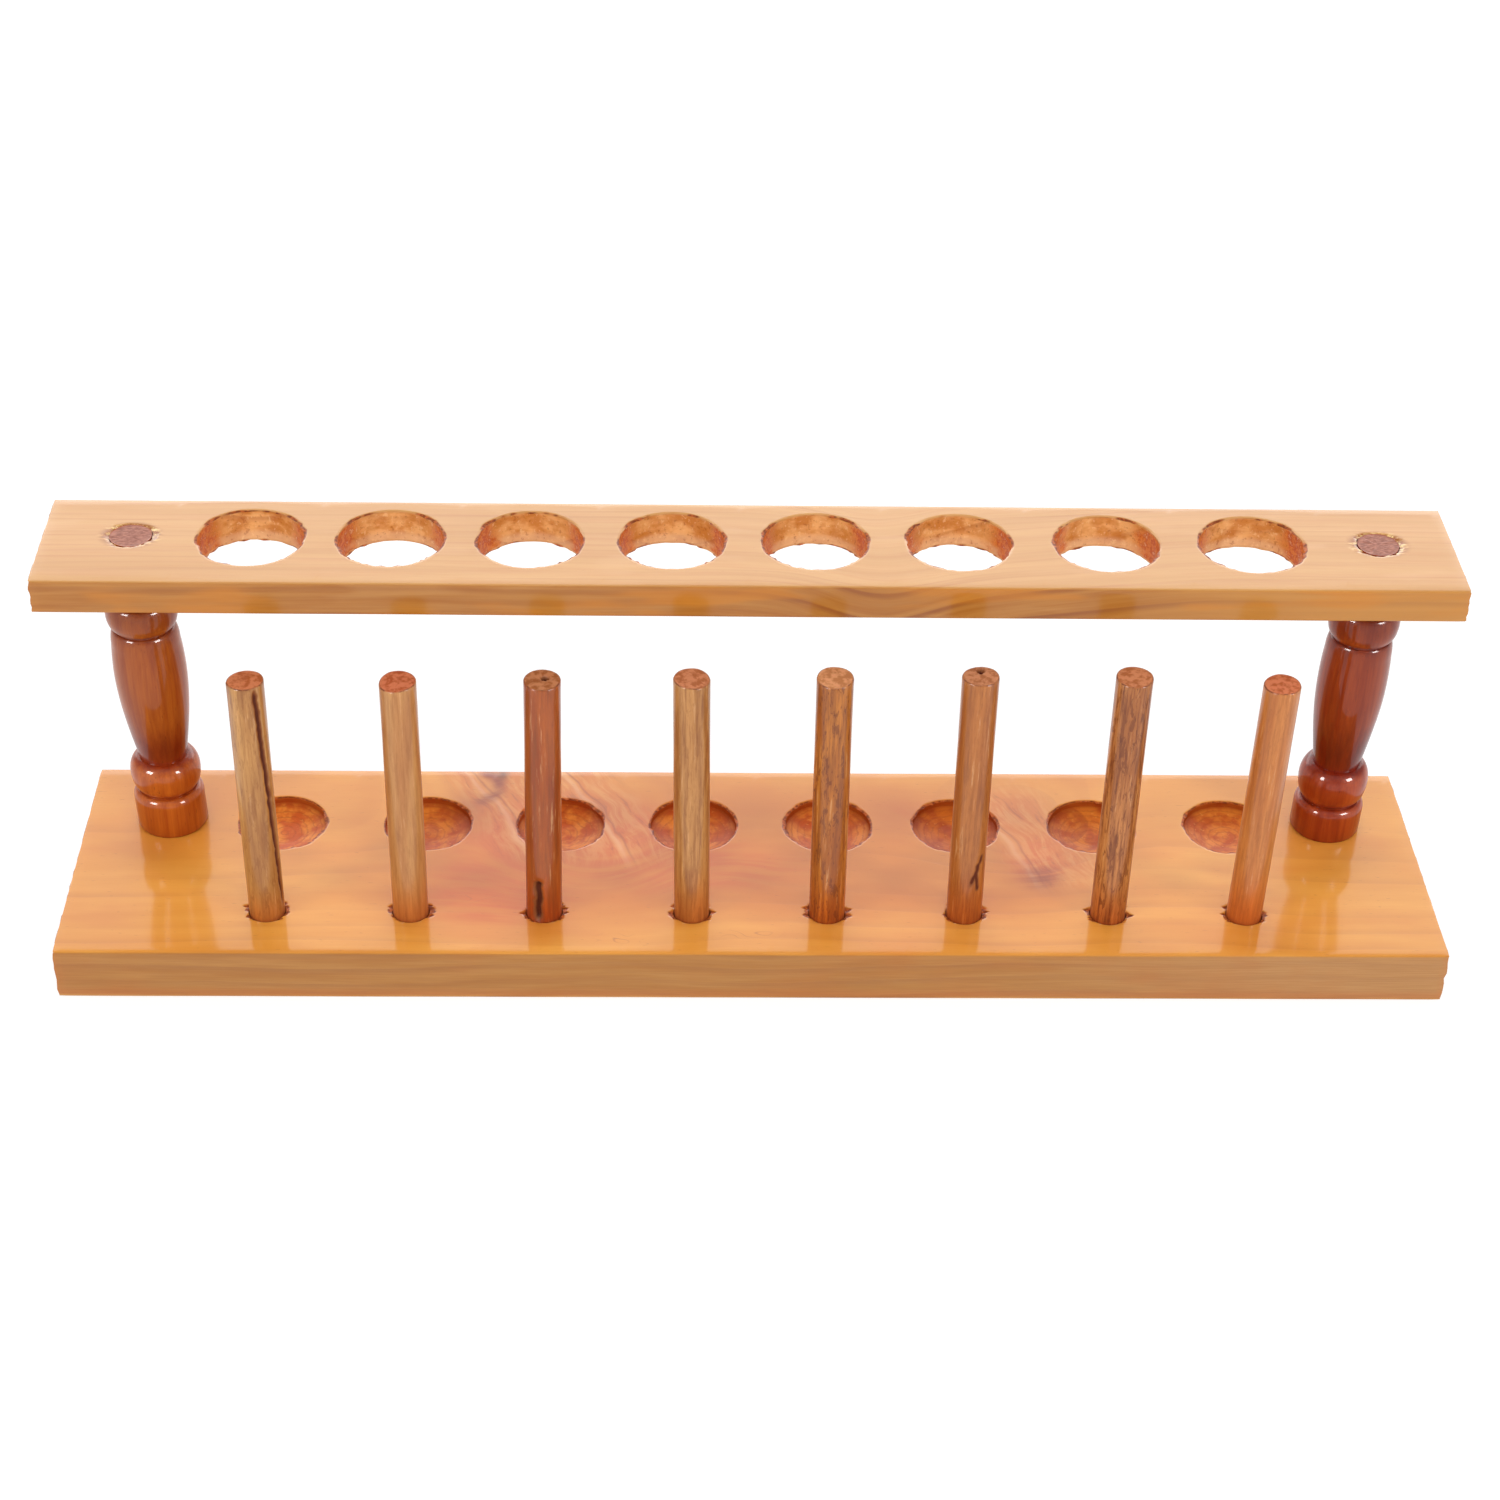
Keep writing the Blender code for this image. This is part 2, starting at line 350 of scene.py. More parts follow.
def sink_well(shape, mouth, hole, angles, top, floor_z, pale):
    """The wall, torn a little by the bit, and a dished floor with the bit's faint rings."""
    rings = [mouth]

    def add_ring(radius, z, bore, grit):
        points = []
        for angle in angles:
            spin = drift(cos(angle) * radius / 2, sin(angle) * radius / 2, z + hole.seed)
            points.append(hole.at(angle, radius, z + grit * spin))
        rings.append(shape.ring(points, well=1.0, bore=bore, turn=radius, pale=pale))

    for i in range(1, WALL_STEPS + 1):
        add_ring(hole.radius - WALL_TAPER * i, top - WELL_WALL * i / WALL_STEPS, 1.0, 0.0)
    wall_foot = top - WELL_WALL
    for i in range(1, DISH_STEPS + 1):
        share = 1 - i / DISH_STEPS
        radius = WELL_FLAT + (hole.radius - DISH_INSET - WELL_FLAT) * share
        ridge = RIDGE_HEIGHT * sin(radius * tau / RIDGE_GAP + hole.seed)
        z = floor_z + (wall_foot - floor_z) * share * share + ridge
        add_ring(radius, z, 0.5 * step(share, 0.75, 1.0), DISH_GRIT)
    for share in (0.7, 0.4):
        add_ring(WELL_FLAT * share, floor_z, 0.0, FLAT_GRIT)
    shape.bridge_all(rings)
    shape.cap(rings[-1], (hole.x, hole.y, floor_z), well=1.0, pale=pale)


def sink_socket(shape, mouth, hole, angles, top, depth):
    rings = [mouth]
    for share in (0.1, 0.3, 0.6, 1.0):
        points = [hole.at(angle, hole.radius, top - depth * share) for angle in angles]
        rings.append(shape.ring(points, bore=1.0, tear=1.0 - share))
    shape.bridge_all(rings)
    shape.cap(rings[-1], (hole.x, hole.y, top - depth), bore=1.0)


def make_base_board(material):
    low, high = node_box("base_board")
    seats = seat_places()
    pegs = [node_middle(f"drying_peg_{i + 1}") for i in range(TUBES)]
    wells = [
        Hole(x, y, WELL_RADIUS, 3.7 * i, (0.6, 0.3), 0.4, teeth=0.6, stain=0.8)
        for i, (x, y, _) in enumerate(seats)
    ]
    sockets = [
        Hole(x, y, SOCKET_RADIUS, 5.3 * i + 1, (1.8, 0.35), 2.2, stain=0.3)
        for i, (x, y, _) in enumerate(pegs)
    ]
    mortises = [Hole(x, y, MORTISE_RADIUS, 40 + x, (0.2, 0.1)) for x, y in post_places(0)]
    back_row = [mortises[0], *wells, mortises[1]]
    columns = column_limits(low[0] + EDGE, high[0] - EDGE, back_row)
    rows = [low[1] + EDGE, (sockets[0].y + wells[0].y) / 2 - 2, high[1] - EDGE]
    shape = Shape()
    for i, hole in enumerate(back_row):
        mouth, angles = drilled_cell(shape, columns[i : i + 2], rows[1:], hole, BASE_TOP, 1)
        if hole in wells:
            sink_well(shape, mouth, hole, angles, BASE_TOP, seats[0][2], WELL_PALENESS[i - 1])
        else:
            sink_socket(shape, mouth, hole, angles, BASE_TOP, MORTISE_DEPTH)
    for i, hole in enumerate(sockets, start=1):
        mouth, angles = drilled_cell(shape, columns[i : i + 2], rows[:2], hole, BASE_TOP, 1)
        sink_socket(shape, mouth, hole, angles, BASE_TOP, SOCKET_DEPTH)
    for i in (0, TUBES + 1):
        flat_sheet(shape, columns[i : i + 2], rows[:2], BASE_TOP)
    board_sides(shape, columns, rows, low[2], BASE_TOP)
    flat_sheet(shape, columns, rows, low[2])
    wave_board(shape, low, high)
    piece = shape.finish("base_board_wood", material)
    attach(piece, "root")
    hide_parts("base_board")


# The rail's drilling
TUBE_HOLE_RADIUS = 10.5
BORE_STEPS, BORE_INSET, BORE_FUZZ = 14, 0.15, 0.22


def bore_through(shape, upper, lower, hole, angles, rough):
    """A through hole's wall: fuzzy where the bit cut across the grain's ends."""
    rings = [upper]
    for i in range(1, BORE_STEPS):
        share = i / BORE_STEPS
        z = RAIL_TOP - BORE_INSET - (RAIL_TOP - RAIL_BOTTOM - 2 * BORE_INSET) * share
        points = []
        for j, angle in enumerate(angles):
            fuzz = rough * (0.35 + 0.65 * abs(cos(angle)))
            spin = drift(cos(angle) * 4, sin(angle) * 4, z * 0.6 + hole.seed)
            grit = jitter(j, i, hole.seed)
            r = hole.radius + fuzz * (0.6 * spin + 0.5 * grit - 0.3)
            points.append(hole.at(angle, r, z))
        rings.append(shape.ring(points, bore=1.0, end=[cos(angle) ** 2 for angle in angles]))
    shape.bridge_all(rings + [lower])


def make_top_rail(material):
    low, high = node_box("top_rail")
    holes = [
        Hole(x, y, TUBE_HOLE_RADIUS, 2.9 * i + 11, (0.6, 0.35), 1.2, teeth=0.45)
        for i, (x, y) in enumerate(hole_places())
    ]
    mortises = [
        Hole(x, y, MORTISE_RADIUS, x / 9, (1.6, 0.3), 0.6, teeth=0.9, mask="chip", stain=0.3)
        for x, y in post_places(1)
    ]
    all_holes = [mortises[0], *holes, mortises[1]]
    columns = column_limits(low[0] + EDGE, high[0] - EDGE, all_holes)
    rows = [low[1] + EDGE, high[1] - EDGE]
    shape = Shape()
    for i, hole in enumerate(all_holes):
        upper, angles = drilled_cell(shape, columns[i : i + 2], rows, hole, RAIL_TOP, 1)
        lower, _ = drilled_cell(shape, columns[i : i + 2], rows, hole, RAIL_BOTTOM, -1)
        rough = BORE_FUZZ if hole in holes else 0.0
        bore_through(shape, upper, lower, hole, angles, rough)
    board_sides(shape, columns, rows, RAIL_BOTTOM, RAIL_TOP)
    wave_board(shape, low, high)
    piece = shape.finish("top_rail_wood", material)
    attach(piece, "root")
    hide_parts("top_rail")


# ---- Turned posts and pegs ----

POST_SEGMENTS = 96
TENON_RADIUS, TENON_SUNK = 4.2, 7.7
TENON_SHY = 0.1  # how far below the rail's top the tenon ends
TENON_GRIT, TENON_DIP = 0.08, 0.05
POST_GAP, FOOT_GAP = 0.05, 0.08  # left open under the rail and over the base board
FOOT_RADIUS, NECK_RADIUS, BEAD_RADIUS = 7.3, 6.0, 7.25
WAIST_RADIUS, BELLY_HEIGHT = 5.0, 38.0
BELLY_RADII = {"left_post": 7.35, "right_post": 7.1}
SHOULDER_DROP = 2.0  # how far below the body's top its rounded shoulder ends
WAIST_RISE, NECK_HALF = 0.4, 0.3
GROOVE_RADIUS, GROOVE_FOOT, GROOVE_TOP = 6.0, 1.6, 2.0  # its ends are heights above the body's top
# Each post's own turning, as heights above the base board: the foot's shoulder, the neck, the lower
# bead's middle and top, the body's shoulder and the upper bead's middle
POST_TURNINGS = {
    "left_post": (7.2, 9.5, 13.5, 17.2, 47.2, 52.4),
    "right_post": (5.8, 8.2, 12.7, 16.9, 46.7, 52.2),
}
COLLAR_HEIGHT, COLLAR_FOOT, UPPER_BEAD_TOP = 58.0, 56.2, 55.7
POST_WOBBLE = 0.05
ARC_STEPS = 12
BODY_STEPS = 30


def quarter(start, end, upright_at_start):
    """Points on a quarter of an ellipse from start to end, without start itself."""
    points = []
    for i in range(1, ARC_STEPS + 1):
        across, along = sin(pi / 2 * i / ARC_STEPS), 1 - cos(pi / 2 * i / ARC_STEPS)
        if upright_at_start:
            across, along = along, across
        points.append(
            (start[0] + (end[0] - start[0]) * across, start[1] + (end[1] - start[1]) * along)
        )
    return points


def post_outline(name):
    """(radius, height) points from the tenon in the rail to the tenon in the base board."""
    shoulder, neck, low_middle, low_top, body_top, upper_middle = POST_TURNINGS[name]
    waist = low_top + WAIST_RISE
    body_start = body_top - SHOULDER_DROP

    def body(height):
        share = (height - waist) / (BELLY_HEIGHT - waist)
        return WAIST_RADIUS + (BELLY_RADII[name] - WAIST_RADIUS) * sin(pi / 2 * share), height

    steps = range(1, BODY_STEPS + 1)
    body_points = [body(body_start - (body_start - waist) * i / BODY_STEPS) for i in steps]
    points = [
        (TENON_RADIUS, RAIL_TOP - TENON_SHY),
        (TENON_RADIUS, RAIL_BOTTOM - POST_GAP),
        (FOOT_RADIUS - 0.2, RAIL_BOTTOM - POST_GAP),
        (FOOT_RADIUS, RAIL_BOTTOM - 0.3),
    ]
    # A radius, a height above the base board, and for an arc whether it leaves the last point upright
    for radius, height, *upright in (
        (FOOT_RADIUS, COLLAR_HEIGHT),
        (NECK_RADIUS, COLLAR_FOOT, True),
        (NECK_RADIUS, UPPER_BEAD_TOP),
        (BEAD_RADIUS, upper_middle, False),
        (GROOVE_RADIUS, body_top + GROOVE_TOP, True),
        (GROOVE_RADIUS, body_top + GROOVE_FOOT),
        (*body(body_start), False),
        *body_points,
        (WAIST_RADIUS, low_top),
        (BEAD_RADIUS, low_middle, False),
        (NECK_RADIUS, neck + NECK_HALF, True),
        (NECK_RADIUS, neck - NECK_HALF),
        (FOOT_RADIUS, shoulder, False),
        (FOOT_RADIUS, 3.0),
        (FOOT_RADIUS, 0.5),
        (FOOT_RADIUS - 0.25, FOOT_GAP),
        (TENON_RADIUS, FOOT_GAP),
        (TENON_RADIUS, -TENON_SUNK),
    ):
        end = (radius, BASE_TOP + height)
        points += quarter(points[-1], end, *upright) if upright else [end]
    return points


def make_post(name, material):
    x, y, _ = node_middle(name)
    outline = post_outline(name)
    foot_shift, top_shift = POST_SHIFTS[name]
    shape = Shape()
    rings = []

    def lean_at(z):
        share = min(1.0, max(0.0, (z - BASE_TOP) / (RAIL_BOTTOM - BASE_TOP)))
        return foot_shift + (top_shift - foot_shift) * share

    for radius, z in outline:
        points = []
        for i in range(POST_SEGMENTS):
            angle = tau * i / POST_SEGMENTS
            wobble = POST_WOBBLE * drift(cos(angle) * 1.5, sin(angle) * 1.5, z / 9 + x)
            r = radius + (wobble - POST_WOBBLE)
            points.append((x + lean_at(z) + r * cos(angle), y + r * sin(angle), z))
        groove = step(FOOT_RADIUS - 0.1 - radius, 0.2, 1.6) if radius > TENON_RADIUS else 0.0
        rings.append(shape.ring(points, tear=groove))
    shape.bridge_all(rings)
    top = outline[0][1]
    rims = [rings[0]]
    top_x = x + top_shift
    for share in (0.93, 0.7, 0.4):
        points = []
        for px, py, _ in (shape.points[i] for i in rings[0]):
            z = top - TENON_GRIT * jitter(px, py, share)
            points.append((top_x + (px - top_x) * share, y + (py - y) * share, z))
        rims.append(shape.ring(points, end=1.0))
    shape.bridge_all(rims)
    shape.cap(rims[-1], (top_x, y, top - TENON_DIP), end=1.0)
    shape.cap(rings[-1], (x + foot_shift, y, outline[-1][1]), end=1.0)
    piece = shape.finish(f"{name}_turned", material)
    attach(piece, "root")
    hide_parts(name)
    return piece


PEG_SEGMENTS = 120
PEG_LEVELS = 60
PEG_SUNK = 7.2
PEG_FLATS, PEG_GRIT, PEG_INSET = 0.07, 0.02, 0.09  # the inset keeps the other two inside the CAD
PEG_BOW = 0.12
SAWN_GRIT, PITH_DEPTH = 0.05, 1.2


class Crack:
    """A split in a peg. Its bearing runs from the front (0 degrees) round to the right."""

    def __init__(self, bearings, heights, width, depth):
        self.bearings, self.heights = bearings, heights
        self.width, self.depth = width, depth

    def share(self, bearing, height):
        low, high = self.heights
        if not low <= height <= high:
            return 0.0
        along = (height - low) / (high - low)
        centre = self.bearings[0] + (self.bearings[1] - self.bearings[0]) * along
        centre += 4.0 * drift(height / 2, centre)
        taper = step(min(along, 1 - along), 0.0, 0.06)
        off = (bearing - centre + 180) % 360 - 180
        ragged = self.width * (1 + 0.6 * drift(height / 0.9, off / 20))
        return taper * exp(-((off / ragged) ** 2))


# Each peg: how far its top leans along X, how its top is cut (rise along X and Y), its pith hole
# (X, Y and radius) and its cracks
PEG_FORMS = (
    dict(lean=-0.1, slope=(0.1, -0.1), cracks=[Crack((80, 34), (2, 57), 8.0, 0.6)]),
    dict(lean=0.0, slope=(0.25, 0.15)),
    dict(
        lean=0.7,
        slope=(0.0, 0.1),
        pith=(0.5, 0.5, 0.75),
        cracks=[Crack((-20, -17), (0.3, 10.5), 14.0, 1.2)],
    ),
    dict(lean=-0.6, slope=(-0.15, 0.05)),
    dict(lean=-0.5, slope=(0.1, 0.2)),
    dict(
        lean=-0.5,
        slope=(0.1, -0.15),
        pith=(0.1, 1.7, 0.8),
        cracks=[Crack((6, 44), (9.5, 17), 7.0, 0.1), Crack((36, 24), (8, 12), 6.0, 0.08)],
    ),
    dict(lean=-0.2, slope=(0.05, 0.1)),
    dict(lean=0.6, slope=(0.2, 0.0)),
)


def make_peg(number, form, material):
    name = f"drying_peg_{number}"
    low, high = node_box(name)
    x, y, _ = node_middle(name)
    radius = (high[1] - low[1]) / 2
    height = high[2] - BASE_TOP
    cracks = form.get("cracks", [])
    pith = form.get("pith")
    shape = Shape()

    def slant(px, py):
        rise = form["slope"]
        return min(0.0, (rise[0] * px + rise[1] * py) / 2)

    def point(bearing, level, reach):
        """The peg's surface at a bearing and a height, and how deep in a crack it is."""
        turn = radians(bearing)
        cracked = max([c.share(bearing, level) for c in cracks], default=0.0)
        deep = max([c.share(bearing, level) * c.depth for c in cracks], default=0.0)
        flats = PEG_FLATS * drift(sin(turn) * 1.3, cos(turn) * 1.3, level / 30 + number * 5)
        grit = PEG_GRIT * drift(sin(turn) * 9, cos(turn) * 9, level / 4 + number)
        r = reach - PEG_INSET + flats + grit - deep * step(reach, 1.0, 3.0)
        dx, dy = r * sin(turn), -r * cos(turn)
        bow = PEG_BOW * sin(pi * max(level, 0) / height) * drift(number * 3.3, 1)
        shift = form["lean"] * max(level, 0) / height + bow
        z = BASE_TOP + level
        if level > height - 3:
            z += slant(dx, dy) * step(level, height - 3, height)
        return (x + dx + shift, y + dy, z), cracked

    def peg_ring(level, reach, **masks):
        points, cracked = [], []
        for i in range(PEG_SEGMENTS):
            place, share = point(360 * i / PEG_SEGMENTS, level, reach)
            points.append(place)
            cracked.append(share)
        return shape.ring(points, crack=cracked, **masks)

    rings = [peg_ring(-PEG_SUNK, radius - 0.3)]
    levels = [-PEG_SUNK + 0.3, -3.0, -1.0]
    levels += [(height - 0.35) * i / PEG_LEVELS for i in range(PEG_LEVELS + 1)]
    rings += [peg_ring(level, radius) for level in levels]
    rings.append(peg_ring(height - 0.1, radius - 0.1, end=0.6))
    rings.append(peg_ring(height, radius - 0.35, end=1.0))
    for share in (0.8, 0.62, 0.45, 0.3, 0.15):
        rings.append(peg_ring(height, radius * share, end=1.0))
    shape.bridge_all(rings)
    shift = form["lean"]
    shape.cap(rings[-1], (x + shift, y, BASE_TOP + height + slant(0, 0)), end=1.0)
    shape.cap(rings[0], (x, y, BASE_TOP - PEG_SUNK))
    for i, (px, py, pz) in enumerate(shape.points):
        if pz < BASE_TOP + height - 1.5:
            continue
        sink = SAWN_GRIT * (0.5 + 0.5 * drift(px * 1.7, py * 1.7, number))
        if pith:
            away = sqrt((px - x - shift - pith[0]) ** 2 + (py - y - pith[1]) ** 2)
            hollow = 1 - step(away, pith[2] * 0.6, pith[2] * 1.2)
            sink += PITH_DEPTH * hollow
            shape.masks[i]["crack"] = max(shape.masks[i].get("crack", 0.0), hollow)
        shape.points[i] = (px, py, pz - sink)
    piece = shape.finish(f"{name}_dowel", material, sharp=50.0)
    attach(piece, "root")
    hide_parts(name)
    return piece


# ---- Materials ----

WOOD_SHINE, VARNISH_IOR = 0.12, 1.52


def srgb(red, green, blue):
    """A colour given as 0 to 255 on screen, as the shader's linear colour."""

    def linear(value):
        share = value / 255
        return share / 12.92 if share <= 0.04045 else ((share + 0.055) / 1.055) ** 2.4

    return (linear(red), linear(green), linear(blue), 1.0)


class Nodes:
    """The nodes of a material or a world. Most methods add a node and return its output."""

    def __init__(self, owner):
        self.owner = owner
        owner.use_nodes = True
        self.tree = owner.node_tree

    def add(self, kind, **settings):
        node = self.tree.nodes.new(kind)
        for setting, value in settings.items():
            setattr(node, setting, value)
        return node

    def feed(self, socket, value):
        if isinstance(value, bpy.types.NodeSocket):
            self.tree.links.new(value, socket)
        else:
            socket.default_value = value

    def feed_all(self, node, values):
        for name, value in values.items():
            self.feed(node.inputs[name], value)

    def math(self, operation, *values):
        node = self.add("ShaderNodeMath", operation=operation)
        for socket, value in zip(node.inputs, values):
            self.feed(socket, value)
        return node.outputs[0]

    def plus(self, *values):
        return reduce(partial(self.math, "ADD"), values)

    def minus(self, first, second):
        return self.math("SUBTRACT", first, second)

    def times(self, *values):
        return reduce(partial(self.math, "MULTIPLY"), values)

    def vector_math(self, operation, vector, numbers):
        node = self.add("ShaderNodeVectorMath", operation=operation)
        self.feed(node.inputs[0], vector)
        node.inputs[1].default_value = numbers
        return node.outputs[0]

    def split(self, vector):
        node = self.add("ShaderNodeSeparateXYZ")
        self.feed(node.inputs[0], vector)
        return node.outputs

    def join(self, x, y, z):
        node = self.add("ShaderNodeCombineXYZ")
        for socket, value in zip(node.inputs, (x, y, z)):
            self.feed(socket, value)
        return node.outputs[0]

    def noise(self, vector, detail, roughness=0.5, distortion=0.0):
        """Noise from 0 to 1 with features about one unit of the vector across."""
        node = self.add("ShaderNodeTexNoise")
        values = dict(Vector=vector, Scale=1.0, Detail=detail, Roughness=roughness, Distortion=distortion)
        self.feed_all(node, values)
        return node.outputs[0]

    def range(self, value, low, high, to_low=0.0, to_high=1.0):
        """The value eased from one range to another, and held at the ends."""
        node = self.add("ShaderNodeMapRange", interpolation_type="SMOOTHSTEP")
        for socket, number in zip(node.inputs, (value, low, high, to_low, to_high)):
            self.feed(socket, number)
        return node.outputs[0]

    def mask(self, name):
        return self.add("ShaderNodeAttribute", attribute_name=name).outputs["Fac"]

    def mix(self, share, first, second, blend="MIX"):
        node = self.add("ShaderNodeMix", data_type="RGBA", blend_type=blend)
        self.feed(node.inputs[0], share)
        self.feed(node.inputs[6], first)
        self.feed(node.inputs[7], second)
        return node.outputs[2]

    def blend(self, value, low, high, first, second):
        """One colour where the value is low, easing to another where it is high."""
        return self.mix(self.range(value, low, high), srgb(*first), srgb(*second))

    def layers(self, colour, *layers):
        """Lays colours over this one. Each layer says where it lies, as a mask or as a value and the
        two ends it eases between, then how strong it is, and its colour."""
        for *where, strength, over in layers:
            mask = self.range(*where) if len(where) > 1 else where[0]
            over = srgb(*over) if isinstance(over, tuple) else over
            colour = self.mix(self.times(mask, strength), colour, over)
        return colour

    def tint(self, colour, tone):
        """The colour seen through a clear stain."""
        return self.mix(1.0, colour, srgb(*tone), "MULTIPLY")

    def bump(self, height, depth):
        """A normal from a height of 0 to 1 that stands for this many millimetres."""
        node = self.add("ShaderNodeBump")
        self.feed_all(node, dict(Strength=1.0, Distance=depth * MM, Height=height))
        return node.outputs[0]


class Wood(Nodes):
    """A varnished wood's material. Its places and lengths are in millimetres."""

    def __init__(self, name):
        super().__init__(bpy.data.materials.new(name))
        place = self.add("ShaderNodeTexCoord").outputs["Object"]
        self.place = self.vector_math("MULTIPLY", place, (1 / MM, 1 / MM, 1 / MM))
        self.x, self.y, self.z = self.split(self.place)

    def patches(self, x, y, z, detail=2.0, roughness=0.5):
        """Noise with this many features to a millimetre each way."""
        return self.noise(self.vector_math("MULTIPLY", self.place, (x, y, z)), detail, roughness)

    def along(self, length, width, offset, detail, roughness=0.5):
        """Streaks of noise along X, this long and this wide."""
        vector = self.vector_math("MULTIPLY", self.place, (1 / length, 1 / width, 1 / width))
        moved = self.vector_math("ADD", vector, (offset, offset * 1.7, offset * 0.6))
        return self.noise(moved, detail, roughness)

    def upright(self, fineness, length, seed, detail, roughness=0.5, distortion=0.0):
        """Streaks of noise along Z, this long, with this many to a millimetre across."""
        vector = self.join(
            self.times(self.x, fineness),
            self.times(self.y, fineness),
            self.plus(self.times(self.z, 1 / length), seed),
        )
        return self.noise(vector, detail, roughness, distortion)

    def spot(self, x, y, wide, deep):
        """A soft round mask on the board's top, 1 in its middle."""
        across = self.math("POWER", self.math("DIVIDE", self.minus(self.x, x), wide), 2)
        along = self.math("POWER", self.math("DIVIDE", self.minus(self.y, y), deep), 2)
        return self.math("EXPONENT", self.times(self.plus(across, along), -1.0))

    def varnish(self, colour, roughness, normal, coat, coat_roughness, ripple, bare):
        """The wood under a coat of clear varnish that ripples a little and thins where it is bare."""
        waves = self.patches(0.16, 0.3, 0.3)
        values = {
            "Base Color": colour,
            "Roughness": roughness,
            "Normal": normal,
            "Specular IOR Level": WOOD_SHINE,
            "Coat Weight": self.times(coat, self.minus(1.0, bare)),
            "Coat Roughness": coat_roughness,
            "Coat IOR": VARNISH_IOR,
            "Coat Normal": self.bump(waves, ripple),
        }
        self.feed_all(self.tree.nodes["Principled BSDF"], values)
        return self.owner


class Board:
    """Sawn wood's figure. depth counts the millimetres across the growth rings."""

    def __init__(self, n, depth, ring, seed, late_from=0.5):
        count = n.times(depth, 1 / ring)
        whole = n.math("FLOOR", count)
        part = n.minus(count, whole)
        self.late = n.times(n.range(part, late_from, 0.92), n.range(part, 0.94, 1.0, 1.0, 0.0))
        pick = n.noise(n.join(n.times(whole, 5.37), n.times(n.x, 1 / 90), seed), 1.0)
        self.lines = n.times(self.late, n.range(pick, 0.36, 0.66))
        self.bands = n.noise(n.join(n.times(n.x, 1 / 80), n.times(depth, 1 / 5.5), seed), 2.5, 0.6)
        self.streaks = n.noise(n.join(n.times(n.x, 1 / 30), n.times(depth, 1 / 1.6), seed + 4), 3.0, 0.6)
        self.fibres = n.along(9.0, 0.22, seed, 3.0, 0.6)
        self.pores = n.range(n.along(1.6, 0.33, seed + 2, 1.0), 0.70, 0.80)


def sway(n, long, wide, thick, seed):
    """Slow noise from -0.5 to 0.5, this many millimetres long, wide and thick."""
    vector = n.join(n.times(n.x, 1 / long), n.times(n.y, 1 / wide), n.plus(n.times(n.z, 1 / thick), seed))
    return n.minus(n.noise(vector, 1.5), 0.5)


def flame(n, curve, across_limits, along_limits, seed):
    """Curved streaks that fan across a board beside a knot: how strong, the streaks, and the
    distance across them from the curve, whose numbers are its X at Y = 0, its slope and its bend."""
    start, slope, bend = curve
    line = n.plus(start, n.times(n.y, slope), n.times(n.math("POWER", n.y, 2), bend))
    curl = n.times(sway(n, 11, 11, 11, seed), 5.0)
    across = n.plus(n.minus(n.x, line), curl)
    left, right = across_limits
    front, back = along_limits
    strong = n.times(
        n.range(across, left - 5, left + 4),
        n.range(across, right + 6, right - 3),
        n.range(n.y, front - 5, front + 5),
        n.range(n.y, back + 5, back - 5),
    )
    streaks = n.noise(n.join(n.times(across, 1 / 2.6), n.times(n.y, 1 / 13), seed), 4.0, 0.68, 0.4)
    return strong, streaks, across


def vein(n, across, place, width):
    """A thin soft line at this distance across a flame."""
    off = n.math("DIVIDE", n.minus(across, place), width)
    return n.math("EXPONENT", n.times(off, off, -1.0))


def hook(n, x, y, radius):
    """The right half of a dark ring round a dead knot."""
    dx, dy = n.minus(n.x, x), n.minus(n.y, y)
    away = n.math("SQRT", n.plus(n.times(dx, dx), n.times(dy, dy)))
    return n.times(vein(n, away, radius, 1.6), n.range(dx, -1.0, 2.0))


# Below all the base board's bores, so that none of them pales at its foot like a through hole
BELOW_ALL_BORES = -10.0


def drilled_colours(n, colour, board, bottom):
    """The bores, the wells, whose walls carry painted shade, and the splinters round each rim."""
    bore, well, end, pale = (n.mask(name) for name in ("bore", "well", "end", "pale"))
    fuzz = n.patches(1.1, 1.1, 0.9, 4.0, 0.65)
    patches = n.patches(1 / 4.5, 1 / 4.5, 1 / 3, 3.0, 0.6)
    raw_end = n.blend(fuzz, 0.36, 0.66, (180, 70, 18), (218, 128, 54))
    cut = n.layers(
        n.blend(patches, 0.35, 0.65, (198, 124, 54), (232, 172, 106)),
        (board.lines, 0.6, (160, 78, 30)),
        (n.z, bottom + 3.0, bottom + 1.4, 0.55, (226, 182, 140)),
        (n.plus(end, patches), 0.85, 1.3, 1.0, raw_end),
        (fuzz, 0.58, 0.66, 0.45, (150, 70, 26)),
        (fuzz, 0.42, 0.34, 0.4, (246, 206, 150)),
    )
    turning = n.math("SINE", n.plus(n.times(n.mask("turn"), tau / 1.5), n.times(patches, 11.0)))
    scored = n.times(n.range(turning, 0.45, 1.0), n.range(fuzz, 0.35, 0.6, 0.3, 1.0))
    low = n.mix(pale, srgb(162, 58, 8), srgb(194, 80, 20))
    high = n.mix(pale, srgb(196, 98, 20), srgb(230, 140, 50))
    dish = n.layers(
        n.mix(n.range(patches, 0.36, 0.64), low, high),
        (scored, 0.42, (146, 54, 16)),
        (fuzz, 0.60, 0.70, 0.4, (234, 160, 76)),
        (board.lines, 0.5, (150, 58, 18)),
        # Painted shade: the wells' walls and the dish's outer edge are darkened to stand for the shade of
        # the wall
        (bore, 0.8, (146, 52, 14)),
    )
    torn = n.blend(fuzz, 0.42, 0.62, (112, 40, 16), (186, 92, 42))
    chipped = n.blend(fuzz, 0.42, 0.58, (158, 84, 36), (248, 214, 140))
    return n.layers(
        colour,
        (bore, n.minus(1.0, well), cut),
        (well, 0.92, dish),
        (n.mask("tear"), 0.1, 0.7, 0.9, torn),
        (n.mask("chip"), 0.15, 0.7, 1.0, chipped),
    )


